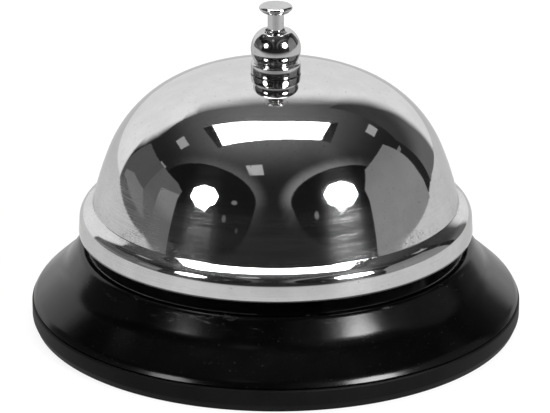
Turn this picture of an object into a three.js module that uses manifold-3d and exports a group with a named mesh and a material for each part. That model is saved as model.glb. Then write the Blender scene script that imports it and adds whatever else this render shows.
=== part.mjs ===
// Counter service bell: a spun steel gong on a black pressed base, rung by a push button.
// Millimetres, +Z up. The origin is the centre of the face that the bell stands on.
import * as THREE from 'three';
import { mergeVertices } from 'three/addons/utils/BufferGeometryUtils.js';
import Module from 'manifold-3d';

const wasm = await Module();
wasm.setup();

// Base
const footRadius = 42.6;
const footHeight = 3.95;
const footInnerRadius = 37.6;
const edgeGroove = { inner: 40.2, outer: 41.6, bottom: 1.3 };
const discSlot = { outer: 39.2, bottom: 0.9, top: 2.3 };
const discRadius = 38.9;
const discSheet = 1;
const discRise = 0.8;
const baseSheet = 0.8;
const baseEdge = { inner: 40.5, outer: 41.3, bottom: 1.6 };
const shoulder = { r: 39.53, z: 3.15, radius: 3, from: 20.5, to: 47.1 };
const flank = { radius: 98.5, to: 50.9 };
const ridge = { r: 33.75, z: 12.8, radius: 0.8, wallAngle: 31 };
const deckTop = 11;

// Gong. Angles in the lists of arcs are those of the outward normal, up from the horizontal
const gongSheet = 1;
const bandRadius = 34.2;
const bandBottom = 15.95;
const bandTop = 18.7;
const ledgeArcs = [
  { radius: 2.54, from: 3, to: 58, steps: 4 },
  { radius: 17.5, from: 58, to: 62, steps: 1 },
];
const wallFoot = { r: 31.71, z: 21.48 };
const wallArcs = [
  { radius: 57.5, from: 12.9, to: 22.2, steps: 2 },
  { radius: 21.3, from: 22.2, to: 61, steps: 8 },
  { radius: 25.6, from: 61, to: 74.4, steps: 2 },
  { radius: 38, from: 74.4, to: 84.4, steps: 2 },
];
const gongTop = 44.5;
const gongSeatRadius = 4.6;
const gongHoleRadius = 3.3;

// Bridge that carries the post and the striker's pin
const bridgeSheet = 1.2;
const bridgeHalfWidth = 6.2;
const bridgeTop = 37.2;
const bridgeLength = 24;
const bridgeBend = 1.5;
const bridgeFootReach = 13;
const bridgeFootTop = 12.35;
const screwX = 2.5;
const screwY = 9.6;
const screwRadius = 1.45;
const screwHoleRadius = 1.7;
const screwHeadRadius = 2.6;
const screwHeadHeight = 1.6;
const washerThickness = 0.5;
const frameNutAcrossFlats = 5.5;
const frameNutHeight = 2.4;

// Post, nuts and the nut that caps the gong
const postRadius = 3;
const postBottom = 33.6;
const postTop = 46.2;
const springSeat = 39;
const springBore = 2.5;
const guideBore = 1.6;
const collarRadius = 4.5;
const collarTop = 38.8;
const hexAcrossFlats = 9;
const supportNutTop = 42;
const seatWasher = { radius: 5.4, bottom: 42.1, top: 43.35 };
const capFlangeRadius = 4.3;
const capFlangeTop = 46.4;
const capNeckRadius = 3.4;
const capTop = 52.1;
const capWall = 0.8;
const capBore = 2.65;
const bulb = { r: 0.3, z: 48.85, radius: 4, from: -22, to: 52 };

// Plunger
const rodRadius = 1.4;
const rodTip = 33.3;
const clipBottom = 50.6;
const clipHeight = 0.6;
const buttonRadius = 2.85;
const buttonTop = 56.6;
const buttonEdge = 0.75;
const buttonThickness = 1.1;
const buttonBossRadius = 2.45;
const riveting = 0.5;
const springRadius = 2;
const springWire = 0.2;
const springTurns = 8;

// Striker
const pivot = { x: 8, z: 31.2 };
const pinRadius = 1.2;
const pinHoleRadius = 1.28;
const headTilt = -5;
const headCentre = { x: 22.5, z: 16.7 };
const headRadius = 3.4;
const leverSheet = 1.2;
const leverHalfWidth = 2.5;
const eyeRadius = 2.3;
const tabPlace = -5.4;
const shankRadius = 1.1;
const pinEnd = 7.6;
const pinGroove = { radius: 0.9, inner: 6.35, outer: 6.95 };

const gap = 0.1;
const fineSegments = 40;
const smallSegments = 16;

const chrome = { color: 0xd4d6d8, roughness: 0.12, metalness: 1 };
const enamel = { color: 0x060606, roughness: 0.2, metalness: 0 };
const rubber = { color: 0x1c1c1c, roughness: 0.75, metalness: 0 };
const plated = { color: 0xa4a5a3, roughness: 0.35, metalness: 1 };
const fibre = { color: 0x3a2a22, roughness: 0.85, metalness: 0 };

const bell = new THREE.Group();

function addPart(name, geometry, look) {
  const mesh = new THREE.Mesh(geometry, new THREE.MeshStandardMaterial(look));
  mesh.name = name;
  bell.add(mesh);
}

function radians(degrees) {
  return degrees * Math.PI / 180;
}

// Points of an arc in the (radius, height) plane, both ends included
function arc(centreR, centreZ, radius, from, to, steps) {
  const points = [];
  for (let step = 0; step <= steps; step += 1) {
    const angle = radians(from + (to - from) * step / steps);
    points.push([centreR + radius * Math.cos(angle), centreZ + radius * Math.sin(angle)]);
  }
  return points;
}

// Tangent arcs that continue an outline one after another, without its own last point
function arcChain(start, arcs) {
  const points = [start];
  for (const { radius, from, to, steps } of arcs) {
    const [r, z] = points[points.length - 1];
    const centreR = r - radius * Math.cos(radians(from));
    const centreZ = z - radius * Math.sin(radians(from));
    points.push(...arc(centreR, centreZ, radius, from, to, steps).slice(1));
  }
  return points;
}

// Turns an outline of [radius, height] points, listed anticlockwise, about the Z axis
function lathe(outline, segments) {
  const profile = outline.map(([r, z]) => new THREE.Vector2(r, z));
  const startsOnAxis = outline[0][0] === 0;
  if (!startsOnAxis) {
    profile.push(profile[0].clone());
  }
  return new THREE.LatheGeometry(profile, segments).rotateX(Math.PI / 2);
}

// The same outline moved sideways by a distance, into the material on its left
function offset(outline, distance) {
  return outline.map(([r, z], index) => {
    const before = outline[Math.max(index - 1, 0)];
    const after = outline[Math.min(index + 1, outline.length - 1)];
    const alongR = after[0] - before[0];
    const alongZ = after[1] - before[1];
    const length = Math.hypot(alongR, alongZ);
    return [r - distance * alongZ / length, z + distance * alongR / length];
  });
}

function shapeOf(outline) {
  return new THREE.Shape(outline.map(([x, y]) => new THREE.Vector2(x, y)));
}

// A flat outline in the XZ plane, made thick across Y, centred on Y = 0
function acrossY(outline, width) {
  const geometry = new THREE.ExtrudeGeometry(shapeOf(outline), { depth: width, bevelEnabled: false });
  return geometry.rotateX(Math.PI / 2).translate(0, width / 2, 0);
}

// A flat outline in the XY plane, made thick upwards from a height
function upwards(outline, bottom, height) {
  const geometry = new THREE.ExtrudeGeometry(shapeOf(outline), { depth: height, bevelEnabled: false });
  return geometry.translate(0, 0, bottom);
}

function rod(radius, bottom, top) {
  return lathe([[0, bottom], [radius, bottom], [radius, top], [0, top]], smallSegments);
}

function tubeRing(inner, outer, bottom, top) {
  return lathe([[inner, bottom], [outer, bottom], [outer, top], [inner, top]], smallSegments);
}

function hexagon(acrossFlats) {
  return arc(0, 0, acrossFlats / Math.sqrt(3), 0, 300, 5);
}

function solid(geometry) {
  const bare = geometry.clone();
  bare.deleteAttribute('normal');
  bare.deleteAttribute('uv');
  const merged = mergeVertices(bare, 1e-5);
  const vertProperties = new Float32Array(merged.attributes.position.array);
  const triVerts = new Uint32Array(merged.index.array);
  return new wasm.Manifold(new wasm.Mesh({ numProp: 3, vertProperties, triVerts }));
}

function surface(manifold) {
  const { vertProperties, triVerts } = manifold.getMesh();
  const geometry = new THREE.BufferGeometry();
  geometry.setAttribute('position', new THREE.BufferAttribute(vertProperties, 3));
  geometry.setIndex(new THREE.BufferAttribute(triVerts, 1));
  geometry.computeVertexNormals();
  return geometry;
}

function cut(geometry, ...tools) {
  return surface(tools.reduce((body, tool) => body.subtract(solid(tool)), solid(geometry)));
}

function join(...pieces) {
  return surface(pieces.map(solid).reduce((body, piece) => body.add(piece)));
}

function common(first, second) {
  return surface(solid(first).intersect(solid(second)));
}

// Moulded ring with an open groove for the base's edge and a slot for the bottom disc
function makeFootRing() {
  const innerTop = discSlot.top + 0.9;
  const outline = [
    [footInnerRadius, 0], [footRadius - 0.5, 0], [footRadius - 0.15, 0.6], [footRadius, 1.6],
    [footRadius, footHeight - 0.55], [footRadius - 0.15, footHeight], [edgeGroove.outer, footHeight],
    [edgeGroove.outer, edgeGroove.bottom], [edgeGroove.inner, edgeGroove.bottom],
    [edgeGroove.inner, innerTop], [footInnerRadius, innerTop], [footInnerRadius, discSlot.top],
    [discSlot.outer, discSlot.top], [discSlot.outer, discSlot.bottom],
    [footInnerRadius, discSlot.bottom],
  ];
  return lathe(outline, fineSegments);
}

// Disc with a raised middle, held in the foot ring
function makeBottomDisc() {
  const rim = discSlot.bottom + 2 * gap;
  const middle = rim + discRise;
  const outline = [
    [0, middle], [32.6, middle], [34, rim], [discRadius, rim], [discRadius, rim + discSheet],
    [34.4, rim + discSheet], [33, middle + discSheet], [0, middle + discSheet],
  ];
  return lathe(outline, fineSegments);
}

// One sheet: edge set into the foot ring, sloping skirt, steep-sided ridge and sunken deck
function makeBaseShell() {
  const { r, z, radius, from, to } = shoulder;
  const reach = flank.radius - radius;
  const flankR = r - reach * Math.cos(radians(to));
  const flankZ = z - reach * Math.sin(radians(to));
  const skirt = [
    ...arc(r, z, radius, from, to, 3),
    ...arc(flankR, flankZ, flank.radius, to, flank.to, 3).slice(1),
  ];
  const skirtInside = arc(flankR, flankZ, flank.radius - baseSheet, flank.to + 0.2, to + 0.6, 3);
  const ridgeTop = arc(ridge.r, ridge.z, ridge.radius, ridge.wallAngle, 180, 5);
  const wellRadius = ridge.r - ridge.radius;
  const shoulderFoot = z + radius * Math.sin(radians(from));
  const outline = [
    [0, deckTop - baseSheet], [ridge.r, deckTop - baseSheet], [ridge.r, ridge.z - 0.3],
    [ridge.r + 0.15, ridge.z - 0.3], ...skirtInside,
    [baseEdge.inner, 5], [baseEdge.inner, baseEdge.bottom], [baseEdge.outer, baseEdge.bottom],
    [baseEdge.outer, shoulderFoot], ...skirt, ...ridgeTop,
    [wellRadius, deckTop + 0.5], [wellRadius - 0.5, deckTop], [0, deckTop],
  ];
  const holes = [-1, 1].map((side) => rod(screwHoleRadius, deckTop - 2, deckTop + 1)
    .translate(screwX, side * screwY, 0));
  return cut(lathe(outline, fineSegments), ...holes);
}

// Upside-down U of strip steel with outward feet, an ear for the pin on each side
function makeStrikerFrame() {
  const foot = deckTop + gap;
  const inside = bridgeHalfWidth - bridgeSheet;
  const right = [
    [bridgeFootReach, foot], [bridgeFootReach, bridgeFootTop], [bridgeHalfWidth, bridgeFootTop],
    ...arc(bridgeHalfWidth - bridgeBend, bridgeTop - bridgeBend, bridgeBend, 0, 90, 3),
  ];
  const left = right.map(([y, z]) => [-y, z]).reverse();
  const ceiling = bridgeTop - bridgeSheet;
  const underside = [[-inside, foot], [-inside, ceiling], [inside, ceiling], [inside, foot]];
  const strip = new THREE.ExtrudeGeometry(shapeOf([...right, ...left, ...underside]), {
    depth: bridgeLength,
    bevelEnabled: false,
  });
  strip.rotateX(Math.PI / 2).rotateZ(Math.PI / 2).translate(-10, 0, 0);
  const sideView = [
    [-3, deckTop - 1], [8, deckTop - 1], [8, 25], [12, 29], [12, 33], [10, 34.6], [6.5, bridgeTop + 1],
    [-6.5, bridgeTop + 1], [-6.5, 30], [-3, 25],
  ];
  const pinHole = rod(pinHoleRadius + 0.02, -9, 9).rotateX(Math.PI / 2).translate(pivot.x, 0, pivot.z);
  const screwHoles = [-1, 1].map((side) => rod(screwHoleRadius, deckTop - 1, deckTop + 3)
    .translate(screwX, side * screwY, 0));
  const postHole = rod(postRadius + gap, bridgeTop - 3, bridgeTop + 1);
  const blank = common(strip, acrossY(sideView, 30));
  return cut(blank, pinHole, postHole, ...screwHoles);
}

// Threaded tube with a collar above the bridge, bored wide for the spring
function makeGongPost() {
  const outline = [
    [guideBore, postBottom], [postRadius, postBottom], [postRadius, bridgeTop + gap],
    [collarRadius, bridgeTop + gap], [collarRadius, collarTop], [postRadius, collarTop],
    [postRadius, postTop],
    [springBore, postTop], [springBore, springSeat], [guideBore, springSeat],
  ];
  return lathe(outline, smallSegments);
}

function makeHexNut(acrossFlats, holeRadius, bottom, top) {
  const blank = upwards(hexagon(acrossFlats), bottom, top - bottom);
  return cut(blank, rod(holeRadius, bottom - 1, top + 1));
}

// Spun sheet: drilled crown, domed wall, rolled ledge and upright band
function makeGong() {
  const outside = [
    [bandRadius, bandBottom], ...arcChain([bandRadius - 0.13, bandTop], ledgeArcs),
    ...arcChain([wallFoot.r, wallFoot.z], wallArcs),
    [gongSeatRadius, gongTop], [gongHoleRadius, gongTop],
  ];
  return lathe([...outside, ...offset(outside, gongSheet).reverse()], fineSegments);
}

// Bulb-shaped nut on a flange, threaded below and hollow above for the plunger's clip
function makeCapNut() {
  const seat = gongTop + gap;
  const ceiling = capTop - capWall;
  const threadRadius = postRadius + gap;
  const outline = [
    [threadRadius, seat], [capFlangeRadius - 0.4, seat], [capFlangeRadius, seat + gap],
    [capFlangeRadius, capFlangeTop - 0.1], [capFlangeRadius - 0.1, capFlangeTop],
    [capNeckRadius, capFlangeTop], [capNeckRadius, capFlangeTop + 0.4],
    ...arc(bulb.r, bulb.z, bulb.radius, bulb.from, bulb.to, 8),
    [2.55, capTop], [guideBore, capTop], [guideBore, ceiling], [capBore, ceiling],
    [capBore, postTop + 2 * gap], [threadRadius, postTop + 2 * gap],
  ];
  return lathe(outline, smallSegments);
}

function makePlungerRod() {
  const grooveRadius = 1;
  const tip = arc(0, rodTip + rodRadius, rodRadius, -90, 0, 4);
  const clipTop = clipBottom + clipHeight;
  const outline = [
    [0, rodTip], ...tip.slice(1), [rodRadius, clipBottom - gap / 2], [grooveRadius, clipBottom - gap / 2],
    [grooveRadius, clipTop + gap / 2], [rodRadius, clipTop + gap / 2],
    [rodRadius, buttonTop - riveting - gap], [0, buttonTop - riveting - gap],
  ];
  return lathe(outline, smallSegments);
}

// Flat-topped button with a narrower boss under it and a blind hole for the rod
function makePlungerButton() {
  const holeRadius = rodRadius + 0.03;
  const [ceiling, edge, foot] = [riveting, buttonEdge, buttonThickness].map((drop) => buttonTop - drop);
  const outline = [
    [0, ceiling], [holeRadius, ceiling], [holeRadius, foot], [buttonBossRadius - 0.1, foot],
    [buttonBossRadius, foot + 0.1], [buttonBossRadius, edge], [buttonRadius - 0.15, edge],
    [buttonRadius, edge + 0.15], [buttonRadius, buttonTop - 0.35], [buttonRadius - 0.3, buttonTop],
    [0, buttonTop],
  ];
  return lathe(outline, smallSegments);
}

// Split retaining ring lying flat, its opening towards -X
function makeRetainingRing(inner, outer, height) {
  const outside = arc(0, 0, outer, -150, 150, 15);
  const inside = arc(0, 0, inner, 150, -150, 15);
  return upwards([...outside, ...inside], 0, height);
}

class Helix extends THREE.Curve {
  constructor(radius, bottom, top, turns) {
    super();
    Object.assign(this, { radius, bottom, top, turns });
  }

  getPoint(t, target = new THREE.Vector3()) {
    const angle = 2 * Math.PI * this.turns * t;
    const height = this.bottom + (this.top - this.bottom) * t;
    return target.set(this.radius * Math.cos(angle), this.radius * Math.sin(angle), height);
  }
}

function makePlungerSpring() {
  const bottom = springSeat + springWire + gap;
  const top = clipBottom - springWire - gap;
  return new THREE.ExtrudeGeometry(shapeOf(arc(0, 0, springWire, 0, 288, 4)), {
    steps: springTurns * 10,
    extrudePath: new Helix(springRadius, bottom, top, springTurns),
    bevelEnabled: false,
  });
}

// A strip between two points of the XZ plane, as thick as the lever's sheet
function strip(from, to) {
  const length = Math.hypot(to.x - from.x, to.z - from.z);
  const geometry = new THREE.BoxGeometry(length, 2 * leverHalfWidth, leverSheet);
  geometry.rotateY(-Math.atan2(to.z - from.z, to.x - from.x));
  return geometry.translate((from.x + to.x) / 2, 0, (from.z + to.z) / 2);
}

// A point of the XZ plane given along the hammer's axis and across it
function onHead(along, across) {
  const tilt = radians(headTilt);
  return {
    x: headCentre.x + along * Math.cos(tilt) - across * Math.sin(tilt),
    z: headCentre.z + along * Math.sin(tilt) + across * Math.cos(tilt),
  };
}

// A turned piece whose axis is the hammer's axis, its zero at the centre of the round face
function alongHead(geometry) {
  return geometry.rotateY(radians(90 - headTilt)).translate(headCentre.x, 0, headCentre.z);
}

// Bell crank: tail under the plunger, eye on the pin, arm down to a tab for the hammer
function makeStrikerLever() {
  const tailHeight = pivot.z + 1.2;
  const eye = rod(eyeRadius, -4.6, 4.6).rotateX(Math.PI / 2).translate(pivot.x, 0, pivot.z);
  const tail = strip({ x: -2, z: tailHeight }, { x: pivot.x, z: tailHeight });
  const knee = onHead(tabPlace, 3.6);
  const arm = strip({ x: pivot.x, z: pivot.z }, knee);
  const bend = rod(leverSheet / 2, -leverHalfWidth, leverHalfWidth)
    .rotateX(Math.PI / 2)
    .translate(knee.x, 0, knee.z);
  const tab = strip(knee, onHead(tabPlace, -2.8));
  const pinHole = rod(pinHoleRadius, -6, 6).rotateX(Math.PI / 2).translate(pivot.x, 0, pivot.z);
  const shankHole = alongHead(rod(shankRadius + gap, tabPlace - 2, tabPlace + 2));
  return cut(join(eye, tail, arm, bend, tab), pinHole, shankHole);
}

// Turned hammer: round face, cylindrical body and a shank through the lever's tab
function makeStrikerHead() {
  const outline = [
    [0, tabPlace - 1.4], [shankRadius, tabPlace - 1.2], [shankRadius, tabPlace + 0.9],
    [2.9, tabPlace + 0.9], [headRadius, tabPlace + 1.4], ...arc(0, 0, headRadius, 0, 90, 6),
  ];
  outline[outline.length - 1][0] = 0;
  return alongHead(lathe(outline, smallSegments));
}

function makePivotPin() {
  const { radius, inner, outer } = pinGroove;
  const half = [
    [pinRadius, inner], [radius, inner], [radius, outer], [pinRadius, outer], [pinRadius, pinEnd],
    [0, pinEnd],
  ];
  const outline = [...half.map(([r, y]) => [r, -y]).reverse(), ...half];
  return lathe(outline, smallSegments).rotateX(Math.PI / 2).translate(pivot.x, 0, pivot.z);
}

// Cheese-head screw with a slot, standing head up on the bridge's foot
function makeFrameScrew() {
  const seat = bridgeFootTop + gap + washerThickness + gap;
  const headTop = seat + screwHeadHeight;
  const end = 6.5;
  const outline = [
    [0, end], [1.1, end], [screwRadius, end + 0.5], [screwRadius, seat], [screwHeadRadius, seat],
    [screwHeadRadius, headTop - 0.4], [screwHeadRadius - 0.4, headTop], [0, headTop],
  ];
  const slot = new THREE.BoxGeometry(0.7, 6, 1.6).translate(0, 0, headTop);
  return cut(lathe(outline, smallSegments), slot);
}

function addBase() {
  addPart('foot_ring', makeFootRing(), rubber);
  addPart('bottom_disc', makeBottomDisc(), plated);
  addPart('base_shell', makeBaseShell(), enamel);
}

function addFrame() {
  addPart('striker_frame', makeStrikerFrame(), plated);
  [-1, 1].forEach((side, index) => {
    const washerBottom = bridgeFootTop + gap;
    const nutTop = deckTop - baseSheet - gap;
    const pieces = {
      frame_screw: makeFrameScrew(),
      frame_washer: tubeRing(screwHoleRadius, 3, washerBottom, washerBottom + washerThickness),
      frame_nut: makeHexNut(frameNutAcrossFlats, screwHoleRadius - gap, nutTop - frameNutHeight, nutTop),
    };
    for (const [name, geometry] of Object.entries(pieces)) {
      addPart(`${name}_${index + 1}`, geometry.translate(screwX, side * screwY, 0), plated);
    }
  });
}

function addPostAndGong() {
  const nutHole = postRadius + gap;
  addPart('gong_post', makeGongPost(), plated);
  addPart('post_nut', makeHexNut(hexAcrossFlats, nutHole, postBottom + 0.2, postBottom + 2.3), plated);
  addPart('support_nut', makeHexNut(hexAcrossFlats, nutHole, collarTop + gap, supportNutTop), plated);
  addPart('seat_washer', tubeRing(nutHole, seatWasher.radius, seatWasher.bottom, seatWasher.top), fibre);
  addPart('gong', makeGong(), chrome);
  addPart('cap_nut', makeCapNut(), chrome);
}

function addPlunger() {
  addPart('plunger_rod', makePlungerRod(), chrome);
  addPart('plunger_button', makePlungerButton(), chrome);
  addPart('plunger_clip', makeRetainingRing(1.05, 2.4, clipHeight).translate(0, 0, clipBottom), plated);
  addPart('plunger_spring', makePlungerSpring(), plated);
}

function addStriker() {
  addPart('striker_lever', makeStrikerLever(), plated);
  addPart('striker_head', makeStrikerHead(), plated);
  addPart('pivot_pin', makePivotPin(), plated);
  [-1, 1].forEach((side, index) => {
    const ring = makeRetainingRing(0.95, 2.2, 0.5).translate(0, 0, side > 0 ? 6.4 : -6.9);
    addPart(`pivot_clip_${index + 1}`, ring.rotateX(-Math.PI / 2).translate(pivot.x, 0, pivot.z), plated);
  });
}

addBase();
addFrame();
addPostAndGong();
addPlunger();
addStriker();

export default bell;
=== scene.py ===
from math import atan2, cos, hypot, pi, radians, sin, tan

import bmesh
import bpy
from mathutils import Matrix, Vector


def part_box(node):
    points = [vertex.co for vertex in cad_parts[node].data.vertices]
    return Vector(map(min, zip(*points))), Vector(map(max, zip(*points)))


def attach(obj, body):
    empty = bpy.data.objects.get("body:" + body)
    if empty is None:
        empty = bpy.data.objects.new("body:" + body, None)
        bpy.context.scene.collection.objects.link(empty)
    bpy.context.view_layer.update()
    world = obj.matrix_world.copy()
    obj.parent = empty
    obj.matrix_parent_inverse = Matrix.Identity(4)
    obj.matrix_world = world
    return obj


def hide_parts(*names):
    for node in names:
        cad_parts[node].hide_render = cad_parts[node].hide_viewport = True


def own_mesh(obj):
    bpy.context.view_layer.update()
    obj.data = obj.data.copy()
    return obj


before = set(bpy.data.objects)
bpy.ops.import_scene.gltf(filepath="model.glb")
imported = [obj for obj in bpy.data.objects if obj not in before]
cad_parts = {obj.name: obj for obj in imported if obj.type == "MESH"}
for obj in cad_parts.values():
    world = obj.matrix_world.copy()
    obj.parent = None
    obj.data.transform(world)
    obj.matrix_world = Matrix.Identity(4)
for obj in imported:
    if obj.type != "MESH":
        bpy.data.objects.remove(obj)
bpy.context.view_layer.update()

# Outlines are in millimetres, as (radius, height) points; meshes are in metres.
MM = 0.001

# Segments round large, medium and small turned pieces
FINE = 256
MEDIUM = 128
SMALL = 64

# A smaller radius than this is on the axis
ON_AXIS = 1e-6


# ---------------------------------------------------------------- places from the frame

class Node:
    """A CAD node's box, in millimetres."""

    def __init__(self, name):
        low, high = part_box(name)
        self.x0, self.y0, self.z0 = (value / MM for value in low)
        self.x1, self.y1, self.z1 = (value / MM for value in high)
        self.x = (self.x0 + self.x1) / 2
        self.y = (self.y0 + self.y1) / 2
        self.radius = (self.x1 - self.x0) / 2
        self.height = self.z1 - self.z0


BOX = {name: Node(name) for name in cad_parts}


# ---------------------------------------------------------------- outlines

def arc(centre_r, centre_z, radius, start, end, step=3.0):
    """Points of an arc in the (radius, height) plane, with both ends. Angles in degrees."""
    count = max(2, int(abs(end - start) / step))
    angles = [radians(start + (end - start) * i / count) for i in range(count + 1)]
    return [(centre_r + radius * cos(a), centre_z + radius * sin(a)) for a in angles]


def arc_chain(start, arcs, step=3.0):
    """Tangent arcs one after another: each is (radius, from, to), the angles being those of
    the outward normal. A negative radius is a hollow arc."""
    points = [start]
    for radius, first, last in arcs:
        r, z = points[-1]
        centre_r = r - radius * cos(radians(first))
        centre_z = z - radius * sin(radians(first))
        points += arc(centre_r, centre_z, radius, first, last, step)[1:]
    return points


def offset(points, distance):
    """The outline moved sideways, to the left of its direction."""
    moved = []
    for i, (r, z) in enumerate(points):
        before, after = points[max(i - 1, 0)], points[min(i + 1, len(points) - 1)]
        along_r, along_z = after[0] - before[0], after[1] - before[1]
        length = hypot(along_r, along_z)
        moved.append((r - distance * along_z / length, z + distance * along_r / length))
    return moved


def rounded(corners, steps=5):
    """A closed outline from (r, z, fillet) corners. A corner on the axis keeps its point."""
    outline = []
    for i, (r, z, fillet) in enumerate(corners):
        here = Vector((r, z))
        before = Vector(corners[i - 1][:2]) - here
        after = Vector(corners[(i + 1) % len(corners)][:2]) - here
        half = before.angle(after) / 2
        if fillet == 0 or r == 0 or half > radians(89):
            outline.append((r, z))
            continue
        reach = min(fillet / tan(half), 0.48 * before.length, 0.48 * after.length)
        radius = reach * tan(half)
        middle = (before.normalized() + after.normalized()).normalized()
        centre = here + middle * radius / sin(half)
        start = here + before.normalized() * reach - centre
        end = here + after.normalized() * reach - centre
        first = atan2(start.y, start.x)
        sweep = (atan2(end.y, end.x) - first + pi) % (2 * pi) - pi
        for k in range(steps + 1):
            angle = first + sweep * k / steps
            outline.append((centre.x + radius * cos(angle), centre.y + radius * sin(angle)))
    return outline


# ---------------------------------------------------------------- meshes

def finish_mesh(bm, name, sharp=50):
    bmesh.ops.recalc_face_normals(bm, faces=bm.faces)
    mesh = bpy.data.meshes.new(name)
    bm.to_mesh(mesh)
    bm.free()
    mesh.shade_smooth()
    mesh.set_sharp_from_angle(angle=radians(sharp))
    piece = bpy.data.objects.new(name, mesh)
    bpy.context.scene.collection.objects.link(piece)
    return piece


def lathe(name, outline, segments=FINE, sharp=50):
    """Turns an outline about Z. A point on the axis is shared by all the angles."""
    bm = bmesh.new()
    rings = []
    poles = {}
    for s in range(segments):
        angle = 2 * pi * s / segments
        ring = []
        for i, (r, z) in enumerate(outline):
            if r < ON_AXIS:
                if i not in poles:
                    poles[i] = bm.verts.new((0, 0, z * MM))
                ring.append(poles[i])
            else:
                ring.append(bm.verts.new((r * cos(angle) * MM, r * sin(angle) * MM, z * MM)))
        rings.append(ring)
    count = len(outline)
    for s in range(segments):
        here, there = rings[s], rings[(s + 1) % segments]
        for i in range(count - 1 if poles else count):
            j = (i + 1) % count
            corners = []
            for vert in (here[i], there[i], there[j], here[j]):
                if vert not in corners:
                    corners.append(vert)
            if len(corners) > 2:
                bm.faces.new(corners)
    return finish_mesh(bm, name, sharp)


def place(piece, x, y):
    """Moves the mesh itself, in millimetres, so that the object stays at the origin."""
    piece.data.transform(Matrix.Translation(Vector((x, y, 0)) * MM))
    return piece


def put(piece, body, node, material):
    """Makes the piece ride on a body in place of a CAD node."""
    piece.data.materials.clear()
    piece.data.materials.append(material)
    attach(piece, body)
    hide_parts(node)
    return piece


# ---------------------------------------------------------------- materials

class Nodes:
    """Short calls for building one node tree."""

    def __init__(self, tree):
        self.tree = tree

    def add(self, kind, settings=None, **inputs):
        node = self.tree.nodes.new(kind)
        for key, value in (settings or {}).items():
            setattr(node, key, value)
        for key, value in inputs.items():
            self.set(node, key.replace("_", " "), value)
        return node

    def set(self, node, key, value):
        socket = node.inputs[int(key) if key.isdigit() else key]
        if isinstance(value, bpy.types.NodeSocket):
            self.tree.links.new(value, socket)
        else:
            socket.default_value = value

    def math(self, operation, first, second=0.0, clamp=False):
        node = self.add("ShaderNodeMath", {"operation": operation, "use_clamp": clamp})
        self.set(node, "0", first)
        self.set(node, "1", second)
        return node.outputs[0]

    def ramp(self, value, low, high, out_low=0.0, out_high=1.0):
        """Smooth step from out_low, where value is low, to out_high, where it is high."""
        node = self.add("ShaderNodeMapRange", {"interpolation_type": "SMOOTHSTEP"})
        for key, number in zip(("Value", "From Min", "From Max", "To Min", "To Max"),
                               (value, low, high, out_low, out_high)):
            self.set(node, key, number)
        return node.outputs["Result"]

    def noise(self, vector, scale, detail=2.0, roughness=0.5):
        node = self.add("ShaderNodeTexNoise", Vector=vector, Scale=scale, Detail=detail,
                        Roughness=roughness)
        return node.outputs["Fac"]

    def axes(self, vector):
        node = self.add("ShaderNodeSeparateXYZ")
        self.set(node, "Vector", vector)
        return node.outputs

    def stretched(self, vector, x, y, z):
        node = self.add("ShaderNodeVectorMath", {"operation": "MULTIPLY"})
        self.set(node, "0", vector)
        self.set(node, "1", (x, y, z))
        return node.outputs[0]

    def mix(self, factor, first, second):
        node = self.add("ShaderNodeMix", {"data_type": "RGBA"})
        self.set(node, "Factor", factor)
        for key, value in (("6", first), ("7", second)):
            self.set(node, key, value)
        return node.outputs[2]

    def bump(self, height, distance, strength=1.0, normal=None):
        node = self.add("ShaderNodeBump", Height=height, Distance=distance, Strength=strength)
        if normal is not None:
            self.set(node, "Normal", normal)
        return node.outputs["Normal"]


def grey(value):
    return (value, value, value, 1.0)


def new_material(name):
    material = bpy.data.materials.new(name)
    material.use_nodes = True
    material.node_tree.nodes.clear()
    nodes = Nodes(material.node_tree)
    position = nodes.add("ShaderNodeTexCoord").outputs["Object"]
    return material, nodes, position


def close_material(nodes, shader):
    output = nodes.add("ShaderNodeOutputMaterial")
    nodes.tree.links.new(shader, output.inputs["Surface"])


def wall_smear(nodes, axes, brush, wall_foot):
    """Extra smear low on the gong's wall, strongest on its left side."""
    height = nodes.math("DIVIDE", axes["Z"], MM)
    low_wall = nodes.ramp(height, wall_foot + 10.5, wall_foot + 6.5)
    left_side = nodes.ramp(nodes.math("DIVIDE", axes["X"], MM), -12.0, -24.0, 1.0, 4.0)
    streaks = nodes.math("MULTIPLY", nodes.ramp(brush, 0.35, 0.7, 0.025, 0.08), left_side)
    return nodes.math("MULTIPLY", low_wall, streaks)


def wall_wear(nodes, axes, position, wall_foot):
    """Mask of the fine speckle in the corner between the gong's wall and its ledge."""
    height = nodes.math("DIVIDE", axes["Z"], MM)
    corner = nodes.math("MULTIPLY", nodes.ramp(height, wall_foot + 3.0, wall_foot + 0.4),
                        nodes.ramp(height, wall_foot - 0.6, wall_foot + 0.1))
    grain = nodes.noise(nodes.stretched(position, 2600, 2600, 4200), 1.0, 4.0, 0.7)
    patches = nodes.noise(position, 160.0, 3.0, 0.6)
    worn = nodes.math("MULTIPLY", nodes.ramp(grain, 0.5, 0.66), nodes.ramp(patches, 0.4, 0.62))
    return nodes.math("MULTIPLY", worn, corner, clamp=True)


def facing_inwards(nodes, position):
    """Mask of the faces that look towards the object's origin."""
    outward = nodes.add("ShaderNodeVectorMath", {"operation": "DOT_PRODUCT"})
    nodes.set(outward, "0", nodes.add("ShaderNodeNewGeometry").outputs["Normal"])
    nodes.set(outward, "1", position)
    return nodes.ramp(outward.outputs["Value"], 0.0, -0.002)


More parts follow.
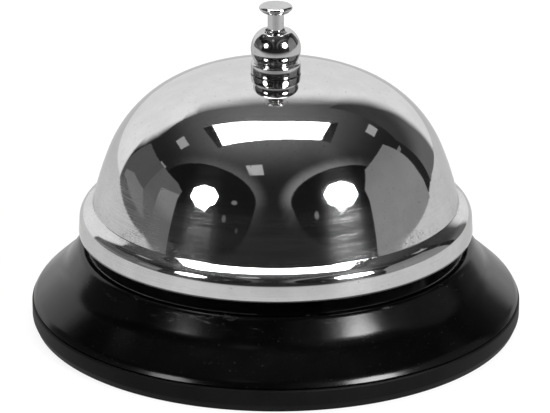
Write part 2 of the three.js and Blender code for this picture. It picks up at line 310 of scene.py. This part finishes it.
def chrome_shader(nodes, tone, roughness, smear, normal):
    """A mirror, with a share of light smeared across the brush marks."""
    tangent = nodes.add("ShaderNodeTangent", {"direction_type": "RADIAL", "axis": "Z"})
    mirror = nodes.add("ShaderNodeBsdfPrincipled", Metallic=1.0, Roughness=roughness)
    nodes.set(mirror, "Specular Tint", grey(0.82))
    brushed = nodes.add("ShaderNodeBsdfPrincipled", Metallic=1.0, Roughness=0.32, Anisotropic=1.0)
    nodes.set(brushed, "Anisotropic Rotation", 0.25)
    nodes.set(brushed, "Tangent", tangent.outputs["Tangent"])
    for shader in (mirror, brushed):
        nodes.set(shader, "Base Color", tone)
        nodes.set(shader, "Normal", normal)
    both = nodes.add("ShaderNodeMixShader")
    nodes.set(both, "0", smear)
    nodes.set(both, "1", mirror.outputs[0])
    nodes.set(both, "2", brushed.outputs[0])
    return both.outputs[0]


def chrome_material(name, dull, bright, smooth, rough, wall_foot=None):
    """Pitted plating brushed round the axis. With a wall_foot, the height of the foot of the
    gong's wall, it is also worn there, and on the inside it is rougher and its colour is darkened as
    painted shade."""
    material, nodes, position = new_material(name)
    axes = nodes.axes(position)
    brush = nodes.noise(nodes.stretched(position, 90, 90, 5200), 1.0, 3.0, 0.6)
    haze = nodes.noise(position, 180.0, 4.0, 0.6)
    pits = nodes.ramp(nodes.noise(position, 2300.0, 2.0, 0.55), 0.69, 0.74)
    tone = nodes.mix(nodes.ramp(haze, 0.35, 0.7), grey(dull), grey(bright))
    tone = nodes.mix(nodes.math("MULTIPLY", pits, 0.7), tone, grey(0.18))
    roughness = nodes.ramp(haze, 0.3, 0.8, smooth, rough)
    smear = nodes.ramp(brush, 0.3, 0.8, 0.002, 0.012)
    normal = nodes.bump(brush, 0.000002, 0.5)
    if wall_foot is not None:
        smear = nodes.math("ADD", smear, wall_smear(nodes, axes, brush, wall_foot))
        worn = wall_wear(nodes, axes, position, wall_foot)
        # Painted shade: the faces inside the gong are darkened, and made rougher, so the hollow under it
        # reads dark
        inside_painted_shade = facing_inwards(nodes, position)
        tone = nodes.mix(nodes.math("MULTIPLY", worn, 0.7), tone, grey(0.2))
        tone = nodes.mix(inside_painted_shade, tone, grey(0.09))
        roughness = nodes.math("ADD", roughness, nodes.math("MULTIPLY", worn, 0.12))
        roughness = nodes.math("ADD", roughness, nodes.math("MULTIPLY", inside_painted_shade, 0.4))
        normal = nodes.bump(worn, 0.00001, 0.5, normal)
    close_material(nodes, chrome_shader(nodes, tone, roughness, smear, normal))
    return material


def enamel_material(name, lip_top):
    """Gloss black enamel with orange peel, dust and a scuffed lip."""
    material, nodes, position = new_material(name)
    axes = nodes.axes(position)
    height = nodes.math("DIVIDE", axes["Z"], MM)
    peel = nodes.noise(position, 420.0, 3.0, 0.5)
    dust = nodes.ramp(nodes.noise(position, 2600.0, 2.0, 0.6), 0.68, 0.75)
    near_lip = nodes.ramp(height, lip_top - 3.2, lip_top - 0.8)
    scratches = nodes.noise(nodes.stretched(position, 160, 160, 900), 1.0, 6.0, 0.75)
    scuffs = nodes.math("MULTIPLY", nodes.ramp(scratches, 0.56, 0.7), near_lip)
    tone = nodes.mix(nodes.math("MULTIPLY", scuffs, 0.5), grey(0.0006), grey(0.045))
    tone = nodes.mix(nodes.math("MULTIPLY", dust, 0.4), tone, grey(0.04))
    rough = nodes.ramp(nodes.noise(position, 90.0, 5.0, 0.65), 0.3, 0.75, 0.16, 0.23)
    rough = nodes.math("ADD", rough, nodes.math("MULTIPLY", scuffs, 0.3))
    normal = nodes.bump(peel, 0.00003, 0.35)
    shader = nodes.add("ShaderNodeBsdfPrincipled")
    nodes.set(shader, "Base Color", tone)
    nodes.set(shader, "Specular IOR Level", 0.25)
    nodes.set(shader, "Roughness", rough)
    nodes.set(shader, "Normal", normal)
    close_material(nodes, shader.outputs[0])
    return material


def rubber_material(name):
    """Matt, nearly black rubber with a fine grain."""
    material, nodes, position = new_material(name)
    grain = nodes.noise(position, 3200.0, 3.0, 0.6)
    blotch = nodes.noise(position, 130.0, 4.0, 0.6)
    tone = nodes.mix(nodes.ramp(blotch, 0.3, 0.75), grey(0.0025), grey(0.0045))
    shader = nodes.add("ShaderNodeBsdfPrincipled", Roughness=0.5)
    nodes.set(shader, "Specular IOR Level", 0.1)
    nodes.set(shader, "Base Color", tone)
    nodes.set(shader, "Normal", nodes.bump(grain, 0.00004, 0.5))
    close_material(nodes, shader.outputs[0])
    return material


def plated_material(name):
    """Dull zinc plating with a faint crystalline mottle."""
    material, nodes, position = new_material(name)
    mottle = nodes.noise(position, 650.0, 4.0, 0.65)
    grain = nodes.noise(nodes.stretched(position, 900, 900, 2400), 1.0, 2.0, 0.5)
    tone = nodes.mix(nodes.ramp(mottle, 0.3, 0.7), grey(0.46), grey(0.60))
    shader = nodes.add("ShaderNodeBsdfPrincipled", Metallic=1.0)
    nodes.set(shader, "Base Color", tone)
    nodes.set(shader, "Roughness", nodes.ramp(mottle, 0.25, 0.75, 0.28, 0.46))
    nodes.set(shader, "Normal", nodes.bump(grain, 0.000012, 0.4))
    close_material(nodes, shader.outputs[0])
    return material


def fibre_material(name):
    """Pressed red-brown fibre."""
    material, nodes, position = new_material(name)
    strands = nodes.noise(nodes.stretched(position, 700, 1900, 2600), 1.0, 5.0, 0.7)
    tone = nodes.mix(nodes.ramp(strands, 0.3, 0.7), (0.07, 0.028, 0.018, 1), (0.13, 0.06, 0.04, 1))
    shader = nodes.add("ShaderNodeBsdfPrincipled", Roughness=0.8)
    nodes.set(shader, "Base Color", tone)
    nodes.set(shader, "Normal", nodes.bump(strands, 0.00005, 0.5))
    close_material(nodes, shader.outputs[0])
    return material


# ---------------------------------------------------------------- the bell's outside

# Height of the corner between the gong's ledge and its wall
WALL_FOOT = BOX["gong"].z0 + 5.53


def make_gong():
    """Spun sheet, 1 mm thick, with a rounded rim, a band, a rolled ledge and a domed wall."""
    box = BOX["gong"]
    sheet = 1.0
    edge = 0.3
    hole = 3.3
    band = [(box.radius, box.z0 + edge), (box.radius - 0.04, box.z0 + 1.2)]
    outside = band + arc_chain((box.radius - 0.13, box.z0 + 2.75), [
        (2.54, 3, 58), (17.5, 58, 62), (-0.22, 62, 12.9), (57.5, 12.9, 22.2), (21.3, 22.2, 61.0),
        (25.6, 61.0, 74.4), (38.0, 74.4, 84.4), (30.0, 84.4, 89.9),
    ], 1.5)
    outside += [(hole + 0.15, box.z1), (hole, box.z1 - 0.15)]
    inside = offset(outside, sheet)
    inside[-2:] = [(hole + 0.15, box.z1 - sheet), (hole, box.z1 - sheet + 0.15)]
    rim = [(box.radius - sheet, box.z0 + edge), (box.radius - sheet + edge, box.z0),
           (box.radius - edge, box.z0)]
    return lathe("gong_shell", outside + inside[::-1] + rim)


def make_cap_nut():
    """Bulb nut: flange, short neck, round bulb and a dished top with a drilled hole. Its
    lower part is bored for the post's thread."""
    box = BOX["cap_nut"]
    top, bottom, wide = box.z1, box.z0, box.radius
    flange_top = bottom + 1.95
    neck = 3.6
    thread, bore, hole = 3.1, 2.65, 1.65
    thread_top, ceiling = bottom + 1.8, top - 0.8
    flange = rounded([
        (thread, bottom, 0.08), (wide - 0.06, bottom, 0.03), (wide, bottom + 0.08, 0.04),
        (wide, flange_top, 0.35), (neck, flange_top + 0.02, 0.05), (neck, flange_top + 0.12, 0.03),
        (3.76, bottom + 2.25, 0),
    ])[:-1]
    bulb = arc(0.3, bottom + 4.25, 4.0, -30, 52, 2.5)
    crown = [(2.6, top - 0.06), (2.4, top - 0.1), (2.15, top - 0.14), (1.9, top - 0.24),
             (1.76, top - 0.4), (1.68, top - 0.6), (hole, ceiling), (bore, ceiling),
             (bore, thread_top), (thread, thread_top)]
    return lathe("cap_nut_turned", flange + bulb + crown, MEDIUM, 40)


def make_button():
    """A disc with a full round edge, on a narrower boss that the rod is riveted into."""
    box = BOX["plunger_button"]
    top, bottom, wide = box.z1, box.z0, box.radius
    socket = 1.43
    rim_radius = 0.42
    rim = arc(wide - rim_radius, top - 0.46, rim_radius, -62, 62, 6)
    boss = rounded([(socket, bottom, 0.05), (2.42, bottom, 0.14), (2.5, bottom + 0.24, 0.08),
                    (2.38, bottom + 0.3, 0)])
    outline = [(0, top - 0.5), (socket, top - 0.5)] + boss + rim
    outline += [(wide - 0.33, top - 0.035), (wide - 0.5, top), (0, top)]
    return lathe("push_button", outline, MEDIUM, 40)


def make_rod():
    """Rod with a round lower end and a groove for the clip."""
    box = BOX["plunger_rod"]
    clip = BOX["plunger_clip"]
    r = box.radius
    groove, play, chamfer = 1.0, 0.05, 0.1
    outline = arc(0, box.z0 + r, r, -90, 0, 6) + [
        (r, clip.z0 - chamfer), (r - play, clip.z0 - play), (groove, clip.z0 - play),
        (groove, clip.z1 + play), (r - play, clip.z1 + play), (r, clip.z1 + chamfer),
        (r, box.z1 - chamfer), (r - chamfer, box.z1), (0, box.z1),
    ]
    outline[0] = (0, box.z0)
    return lathe("push_rod", outline, SMALL, 40)


def make_base_shell():
    """Skirt with a steep-sided ridge, sunken deck and an edge set in the foot ring's groove."""
    box = BOX["base_shell"]
    sheet = 0.8
    foot, top = box.z0, box.z1
    deck = top - 2.6
    edge_top = foot + 2.62
    edge_inner, edge_outer = 40.5, 41.3
    steep, slope = 31.4, 49.9
    ridge_r, ridge_round = 33.41, 1.4
    ridge_inside = top - 1.1
    well_r, well_round = ridge_r - ridge_round, 0.5
    skirt = arc_chain((box.radius, edge_top), [
        (0.8, 20.5, 30), (40, 30, 30.6), (3.0, 30.6, 47.1), (98.5, 47.1, slope),
    ], 0.8)
    hollow = arc_chain(skirt[-1], [(-8.0, slope, steep)], 2)[1:]
    ridge = arc(ridge_r, top - ridge_round, ridge_round, steep, 180, 6)
    well = arc(well_r - well_round, deck + well_round, well_round, 0, -90, 15)
    underside = [(0, deck - sheet), (ridge_r, deck - sheet), (ridge_r, ridge_inside),
                 (ridge_r + 0.2, ridge_inside)]
    underside += offset(skirt, sheet)[::-1][:-3]
    edge = [(edge_inner, foot + 3.3), (edge_inner, foot + 0.1), (edge_inner + 0.1, foot),
            (edge_outer - 0.1, foot), (edge_outer, foot + 0.1), (edge_outer, edge_top - 0.12),
            (edge_outer + 0.15, edge_top), (box.radius - 0.12, edge_top)]
    outline = underside + edge + skirt[1:] + hollow + ridge + well + [(0, deck)]
    return lathe("enamelled_base", outline, FINE, 40)


def make_foot_ring():
    """Moulded ring with a groove for the base's edge and, inside it, one for the disc."""
    box = BOX["foot_ring"]
    top, wide = box.z1, box.radius
    inner, lip_top = 37.6, 3.2
    groove_inner, groove_outer, groove_floor = 40.2, 41.6, 1.3
    slot_r, slot_low, slot_top = 39.2, 0.9, 2.3
    outline = rounded([
        (inner, 0, 0.2), (42.05, 0, 0.35), (wide, 1.3, 0.6), (wide, top - 0.25, 0.2),
        (wide - 0.2, top, 0.1), (groove_outer, top, 0.1), (groove_outer, groove_floor, 0.2),
        (groove_inner, groove_floor, 0.2), (groove_inner, lip_top, 0.15), (inner, lip_top, 0.3),
        (inner, slot_top, 0.1), (slot_r, slot_top, 0.1), (slot_r, slot_low, 0.1),
        (inner, slot_low, 0.1),
    ])
    return lathe("moulded_foot", outline, FINE, 40)


def build_outside():
    gong_chrome = chrome_material("chrome_gong", 0.70, 0.76, 0.03, 0.06, WALL_FOOT)
    chrome = chrome_material("chrome_small", 0.62, 0.69, 0.08, 0.14)
    put(make_gong(), "stand", "gong", gong_chrome)
    put(make_cap_nut(), "stand", "cap_nut", chrome)
    put(make_button(), "plunger", "plunger_button", chrome)
    put(make_rod(), "plunger", "plunger_rod", chrome)
    enamel = enamel_material("black_enamel", BOX["base_shell"].z1)
    put(make_base_shell(), "stand", "base_shell", enamel)
    put(make_foot_ring(), "stand", "foot_ring", rubber_material("rubber"))


def make_spring():
    """A coil of round wire whose last turn at each end lies flat."""
    box = BOX["plunger_spring"]
    wire = 0.2
    coil = box.radius - wire
    low, high = box.z0 + wire, box.z1 - wire
    turns, flat_turns = 8, 0.6
    per_turn, around = 40, 12
    rising_turns = turns - 2 * flat_turns
    bm = bmesh.new()
    rings = []
    for i in range(turns * per_turn + 1):
        turn = i / per_turn
        rise = min(max(turn - flat_turns, 0), rising_turns) / rising_turns
        z = low + (high - low) * rise
        angle = 2 * pi * turn
        ring = []
        for k in range(around):
            spin = 2 * pi * k / around
            r = coil + wire * cos(spin)
            point = Vector((r * cos(angle), r * sin(angle), z + wire * sin(spin)))
            ring.append(bm.verts.new(point * MM))
        rings.append(ring)
    for here, there in zip(rings, rings[1:]):
        for k in range(around):
            j = (k + 1) % around
            bm.faces.new((here[k], here[j], there[j], there[k]))
    bm.faces.new(rings[0])
    bm.faces.new(rings[-1])
    return finish_mesh(bm, "return_spring")


def make_bottom_disc():
    """Disc whose middle is pressed in, clear of the table."""
    box = BOX["bottom_disc"]
    low, high, wide = box.z0, box.z1, box.radius
    outline = rounded([
        (0, low + 0.8, 0), (32.6, low + 0.8, 1.2), (34, low, 1.2), (wide, low, 0.1),
        (wide, low + 1, 0.1), (34.4, low + 1, 1.5), (33, high, 1.2), (0, high, 0),
    ])
    return lathe("pressed_disc", outline, FINE, 40)


def thread_ridges(root, crest, low, high, pitch=0.5):
    """Outline of the ridges of a thread, between two heights."""
    points = []
    for i in range(int((high - low) / pitch)):
        z = low + i * pitch
        points += [(root, z + 0.06), (crest, z + 0.19), (crest, z + 0.31), (root, z + 0.44)]
    return points


def make_post():
    """Threaded tube: collar on the bridge, thread above and below it, counterbored top."""
    box = BOX["gong_post"]
    thread, depth = 3.0, 0.22
    root = thread - depth
    collar_low, collar_top, wide = 37.3, 38.8, box.radius
    bore, spring_bore, spring_seat = 1.6, 2.5, 39.0
    outline = [(bore, box.z0 + 0.1), (bore + 0.1, box.z0), (root, box.z0)]
    outline += thread_ridges(root, thread, box.z0 + 0.1, collar_low - 0.3)
    outline += [(root, collar_low), (wide - 0.1, collar_low), (wide, collar_low + 0.1),
                (wide, collar_top - 0.1), (wide - 0.1, collar_top), (root, collar_top)]
    outline += thread_ridges(root, thread, collar_top + 0.1, box.z1 - 0.2)
    outline += [(root, box.z1), (spring_bore + 0.1, box.z1), (spring_bore, box.z1 - 0.1),
                (spring_bore, spring_seat), (bore, spring_seat)]
    return lathe("threaded_post", outline, SMALL, 30)


def make_washer(name, inner):
    box = BOX[name]
    outline = rounded([(inner, box.z0, 0.05), (box.radius, box.z0, 0.08), (box.radius, box.z1, 0.12),
                       (inner, box.z1, 0.05)])
    return place(lathe(name + "_turned", outline, SMALL, 40), box.x, box.y)


def build_inside():
    """Turned pieces and the coil get fine meshes, the others keep their CAD shape."""
    plated = plated_material("zinc_plate")
    fibre = fibre_material("vulcanised_fibre")
    spring = put(make_spring(), "stand", "plunger_spring", plated)
    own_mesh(spring)
    put(make_bottom_disc(), "stand", "bottom_disc", plated)
    put(make_post(), "stand", "gong_post", plated)
    put(make_washer("seat_washer", 3.1), "stand", "seat_washer", fibre)
    for name in ("frame_washer_1", "frame_washer_2"):
        put(make_washer(name, 1.7), "stand", name, plated)
    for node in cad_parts.values():
        node.data.materials.clear()
        node.data.materials.append(plated)


# ---------------------------------------------------------------- studio

# Metres from the bell to the ceiling, the backdrop, the side walls and the table's edges.
# Studio outlines are in metres too, but (x, y), (x, z) or (y, z) in the plane of their card.
CEILING = 1.6
BACK = 1.3
SIDE = 1.5
TABLE = 6

# Metres from the bell to the softboxes, their shades, the light round the shades and four
# small lights
LAMP_DISTANCE = 1.50
SHADE_DISTANCE = 1.75
RIM_DISTANCE = 1.45
FAR_LIGHT_DISTANCE = 1.42
SHADE_SIDES = 32

DOME_MIDDLE = Vector((0, 0, 0.03))


def glow_shader(nodes, strength):
    return nodes.add("ShaderNodeEmission", Strength=strength).outputs[0]


def card_object(name, vertices, faces, material):
    """A flat part of the studio: it lights the bell and shows in the chrome, but the camera
    doesn't see it."""
    mesh = bpy.data.meshes.new(name)
    mesh.from_pydata([Vector(v) for v in vertices], [], faces)
    mesh.materials.append(material)
    obj = bpy.data.objects.new(name, mesh)
    bpy.context.scene.collection.objects.link(obj)
    obj.visible_camera = False
    return obj


def card(name, outline, strength):
    material, nodes, _ = new_material(name)
    close_material(nodes, glow_shader(nodes, strength))
    return card_object(name, outline, [tuple(range(len(outline)))], material)


def soft_card(name, inner, outer, strength, covers=None):
    """A card that fades from its inner outline to nothing at the outer one. covers gives how
    solid it is at each inner corner, and then the middle stays open."""
    count = len(inner)
    faces = [(i, (i + 1) % count, count + (i + 1) % count, count + i) for i in range(count)]
    if covers is None:
        faces.append(tuple(range(count)))
    material, nodes, _ = new_material(name)
    cover = nodes.add("ShaderNodeAttribute", {"attribute_name": "cover"}).outputs["Fac"]
    fade = nodes.add("ShaderNodeMixShader")
    nodes.set(fade, "0", nodes.ramp(cover, 0.0, 1.0))
    nodes.set(fade, "1", nodes.add("ShaderNodeBsdfTransparent").outputs[0])
    nodes.set(fade, "2", glow_shader(nodes, strength))
    close_material(nodes, fade.outputs[0])
    obj = card_object(name, list(inner) + list(outer), faces, material)
    values = obj.data.attributes.new("cover", "FLOAT", "POINT")
    for item, value in zip(values.data, (covers or [1.0] * count) + [0.0] * count):
        item.value = value
    return obj


def graded_card(name, outline, low, high):
    """A card whose light changes with height: low and high are (height, strength)."""
    material, nodes, position = new_material(name)
    axes = nodes.axes(position)
    level = nodes.ramp(axes["Z"], low[0], high[0], low[1], high[1])
    close_material(nodes, glow_shader(nodes, level))
    return card_object(name, outline, [tuple(range(len(outline)))], material)


def towards(azimuth, elevation, distance):
    """A point seen from the middle of the dome. Azimuth 0 is towards -Y, +X is at 90."""
    a, e = radians(azimuth), radians(elevation)
    return DOME_MIDDLE + Vector((sin(a) * cos(e), -cos(a) * cos(e), sin(e))) * distance


def facing(azimuth, elevation, distance, half_width, half_height, corners=8):
    """Corners of an outline that faces the bell and stays above the table. Half sizes are in
    degrees."""
    centre = towards(azimuth, elevation, distance)
    side = Vector((cos(radians(azimuth)), sin(radians(azimuth)), 0))
    up = side.cross(DOME_MIDDLE - centre).normalized()
    points = []
    for k in range(corners):
        turn = 2 * pi * (k + 0.5) / corners
        point = (centre + side * distance * tan(radians(half_width)) * cos(turn)
                 + up * distance * tan(radians(half_height)) * sin(turn))
        point.z = max(point.z, 0)
        points.append(point)
    return points


def build_lamp(name, strength, azimuth, elevation, half_size, shade, rim_strength, rim_turn):
    """An eight-sided softbox in front of its wide dark shade. Light spills past the upper edge
    of the shade, most of it at the angle rim_turn. Sizes are in degrees seen from the bell."""
    width, height = shade
    box = facing(azimuth, elevation, LAMP_DISTANCE, half_size, half_size)
    card(name, box, strength)
    card(name + "_shade", facing(azimuth, elevation, SHADE_DISTANCE, width, height, SHADE_SIDES),
         0.008)
    turns = [2 * pi * (k + 0.5) / SHADE_SIDES for k in range(SHADE_SIDES)]
    covers = [max(0, cos(turn - radians(rim_turn))) for turn in turns]
    inner = facing(azimuth, elevation, RIM_DISTANCE, width, height, SHADE_SIDES)
    outer = facing(azimuth, elevation, RIM_DISTANCE, width + 9, height + 10, SHADE_SIDES)
    soft_card(name + "_rim", inner, outer, rim_strength, covers)


def build_ceiling():
    """A ceiling that is light over the bell and gets dark further off."""
    material, nodes, position = new_material("ceiling")
    axes = nodes.axes(position)
    x = nodes.math("ADD", axes["X"], 0.15)
    ahead = nodes.math("SUBTRACT", axes["Y"], 0.3)
    y = nodes.math("MINIMUM", ahead, nodes.math("MULTIPLY", ahead, 0.35))
    spread = nodes.math("ADD", nodes.math("DIVIDE", nodes.math("MULTIPLY", x, x), 0.95),
                        nodes.math("DIVIDE", nodes.math("MULTIPLY", y, y), 0.75))
    fall = nodes.math("EXPONENT", nodes.math("MULTIPLY", spread, -1.0))
    level = nodes.math("ADD", nodes.math("MULTIPLY", fall, 0.16), 0.018)
    close_material(nodes, glow_shader(nodes, level))
    h = CEILING + 0.02
    card_object("ceiling", [(-3.3, -6, h), (3.2, -6, h), (3.2, 1.6, h), (-3.3, 1.6, h)],
                [(0, 1, 2, 3)], material)


def build_ceiling_lights():
    """Small dim panels let into the ceiling, each (x, y, strength)."""
    width, depth = 0.14, 0.18
    for x, y, strength in ((-1.47, 0.48, 0.40), (-2.86, 0.33, 0.30), (-3.06, -1.17, 0.28),
                           (-1.52, -0.99, 0.42), (-0.36, -0.89, 0.50), (1.36, 0.94, 0.42),
                           (2.83, 1.29, 0.20), (1.60, -0.67, 0.40)):
        card("ceiling_light", [(x - width, y - depth, CEILING), (x + width, y - depth, CEILING),
                               (x + width, y + depth, CEILING), (x - width, y + depth, CEILING)],
             strength)


def build_overhead():
    """The long soft panel over the bell, with a dark well at each end."""
    h = CEILING - 0.02
    panel = [(-0.70, -0.02, h), (0.55, 0.11, h), (0.57, 0.69, h), (0.23, 0.62, h), (0, 0.60, h),
             (-0.25, 0.63, h), (-0.69, 0.67, h)]
    card("overhead_panel", panel, 8.0)
    left = [(-0.80, -0.08, h), (-0.70, -0.02, h), (-0.69, 0.67, h), (-0.86, 0.66, h)]
    right = [(0.55, 0.11, h), (0.71, 0.06, h), (0.67, 0.76, h), (0.57, 0.69, h)]
    card("left_well", left, 0.02)
    card("right_well", right, 0.02)


def upright(points, depth):
    """An outline of (x, z) points standing behind the bell."""
    return [(x, depth, z) for x, z in points]


def sideways(points, x):
    """An outline of (y, z) points standing beside the bell."""
    return [(x, y, z) for y, z in points]


def build_backdrop():
    """The pale sheet behind the bell, with its soft upper edge, and the wall on its right."""
    inner = [(-1.75, 0), (0.92, 0), (0.85, 0.4), (0.5, 0.72), (0.33, 0.95), (0.12, 1.02), (-0.2, 1.05),
             (-0.5, 1.12), (-0.8, 1.35), (-1.06, 1.5), (-1.22, 1.45), (-1.52, 1.18), (-1.58, 0.95),
             (-1.68, 0.72)]
    outer = [(-1.95, 0), (1.12, 0), (1.1, 0.55), (0.78, 1.1), (0.5, 1.45), (0.15, 1.57), (-0.2, 1.6),
             (-0.5, 1.72), (-0.95, 1.74), (-1.38, 1.75), (-1.76, 1.73), (-2.08, 1.5), (-2.11, 1.03),
             (-1.85, 0.55)]
    soft_card("backdrop", upright(inner, BACK), upright(outer, BACK), 0.96)
    right = [(0.7, 0), (2.1, 0), (2.2, 0.95), (2.15, 1.45), (1.5, 1.62), (0.5, 1.62), (0.5, 0.9)]
    graded_card("back_wall_right", upright(right, BACK + 0.02), (0.3, 0.16), (1.1, 0.05))


def build_side_walls():
    """Grey screens on both sides, the left one with a wall and a light shelf behind it."""
    right = [(-0.76, 0), (-0.69, 0.5), (-0.65, 1.22), (0.59, 1.27), (0.64, 0.77), (0.65, 0.3), (0.72, 0)]
    graded_card("right_flat", sideways(right, SIDE), (0.4, 0.29), (1.2, 0.23))
    left = [(-0.57, 0), (-0.57, 0.45), (-0.59, 0.71), (-0.40, 0.81), (0.10, 0.85), (0.20, 0.25),
            (0.25, 0)]
    card("left_flat", sideways(left, -SIDE), 0.13)
    near = [(-0.57, 0), (-0.57, 0.6), (-0.15, 0.5), (-0.15, 0)]
    graded_card("left_flat_near", sideways(near, 0.01 - SIDE), (0.2, 0.15), (0.36, 0.26))
    wall = [(0.25, 0), (0.10, 0.85), (0.89, 0.89), (1.02, 0.40), (1.05, 0)]
    card("left_wall", sideways(wall, -SIDE), 0.10)
    shelf = [(0.0, 0.1), (0.2, 0.24), (0.6, 0.3), (0.9, 0.2), (0.9, 0.1)]
    card("left_shelf", sideways(shelf, 0.01 - SIDE), 0.21)


def build_floor():
    """Pale paper. It doesn't show in the bell's chrome, which sees floor_in_chrome instead."""
    material, nodes, _ = new_material("floor_paper")
    paper = nodes.add("ShaderNodeAddShader")
    nodes.set(paper, "0", nodes.add("ShaderNodeBsdfDiffuse", Color=grey(0.16)).outputs[0])
    nodes.set(paper, "1", glow_shader(nodes, 0.86))
    close_material(nodes, paper.outputs[0])
    floor = card_object("floor", table_outline(0), [(0, 1, 2, 3)], material)
    floor.visible_camera = True
    floor.visible_glossy = False


def build_floor_in_chrome():
    """The same floor a little darker and without the bell's shadow, fading in front."""
    material, nodes, position = new_material("floor_in_chrome")
    nearer = nodes.math("MINIMUM", nodes.axes(position)["Y"], 0.0)
    ahead = nodes.math("DIVIDE", nearer, 0.2)
    falloff = nodes.math("ADD", nodes.math("MULTIPLY", ahead, ahead), 1.0)
    level = nodes.math("MINIMUM", nodes.math("DIVIDE", 0.8, falloff), 0.7)
    close_material(nodes, glow_shader(nodes, level))
    under = card_object("floor_in_chrome", table_outline(-0.0005), [(0, 1, 2, 3)], material)
    under.visible_diffuse = False


def table_outline(z):
    return [(-TABLE, -TABLE, z), (TABLE, -TABLE, z), (TABLE, TABLE, z), (-TABLE, TABLE, z)]


def build_surround():
    """A round white wall beyond the table, which only the camera sees."""
    count = 24
    turns = [2 * pi * k / count for k in range(count)]
    vertices = [(TABLE * cos(a), TABLE * sin(a), z) for z in (0, 6) for a in turns]
    faces = [(k, (k + 1) % count, count + (k + 1) % count, count + k) for k in range(count)]
    material, nodes, _ = new_material("surround")
    close_material(nodes, glow_shader(nodes, 1.0))
    wall = card_object("surround", vertices, faces, material)
    wall.visible_camera = True
    wall.visible_glossy = False
    wall.visible_diffuse = False
    wall.visible_shadow = False


def build_lights():
    """Two softboxes in front of the bell, and four small dim lights (azimuth, elevation,
    half size, strength) near them."""
    build_lamp("left_lamp", 11, -51.5, 26.2, 9.3, (34, 26), 0.12, 65)
    build_lamp("right_lamp", 32, 48, 29.2, 10.9, (33, 23), 0.24, 115)
    for azimuth, elevation, size, strength in ((-29, 27, 1.9, 0.22), (-34, 17.3, 1.3, 0.14),
                                               (27, 19.4, 1.4, 0.22), (-25, 14.4, 0.9, 0.07)):
        outline = facing(azimuth, elevation, FAR_LIGHT_DISTANCE, size, size)
        card("far_light", outline, strength)


def build_studio():
    build_floor()
    build_floor_in_chrome()
    build_surround()
    build_ceiling()
    build_ceiling_lights()
    build_overhead()
    build_backdrop()
    build_side_walls()
    build_lights()
    world = bpy.data.worlds.new("studio")
    bpy.context.scene.world = world
    world.use_nodes = True
    background = world.node_tree.nodes["Background"]
    background.inputs["Color"].default_value = grey(1)
    background.inputs["Strength"].default_value = 0.02


def build_camera():
    """A long lens that looks down on the bell from the front."""
    distance = 0.6
    elevation = radians(20.78)
    turning_height, aim_height = 0.025, 0.0199
    sideways_shift = -0.00014
    camera_data = bpy.data.cameras.new("camera")
    camera_data.lens = 226.9
    camera_data.clip_start = 0.01
    camera_data.clip_end = 50
    camera = bpy.data.objects.new("camera", camera_data)
    bpy.context.scene.collection.objects.link(camera)
    camera.location = (sideways_shift, -distance * cos(elevation),
                       turning_height + distance * sin(elevation))
    aim = Vector((sideways_shift, 0, aim_height))
    camera.rotation_euler = (aim - camera.location).to_track_quat("-Z", "Y").to_euler()
    bpy.context.scene.camera = camera


build_outside()
build_inside()
build_studio()
build_camera()
view = bpy.context.scene.view_settings
view.view_transform = "Standard"
view.look = "None"
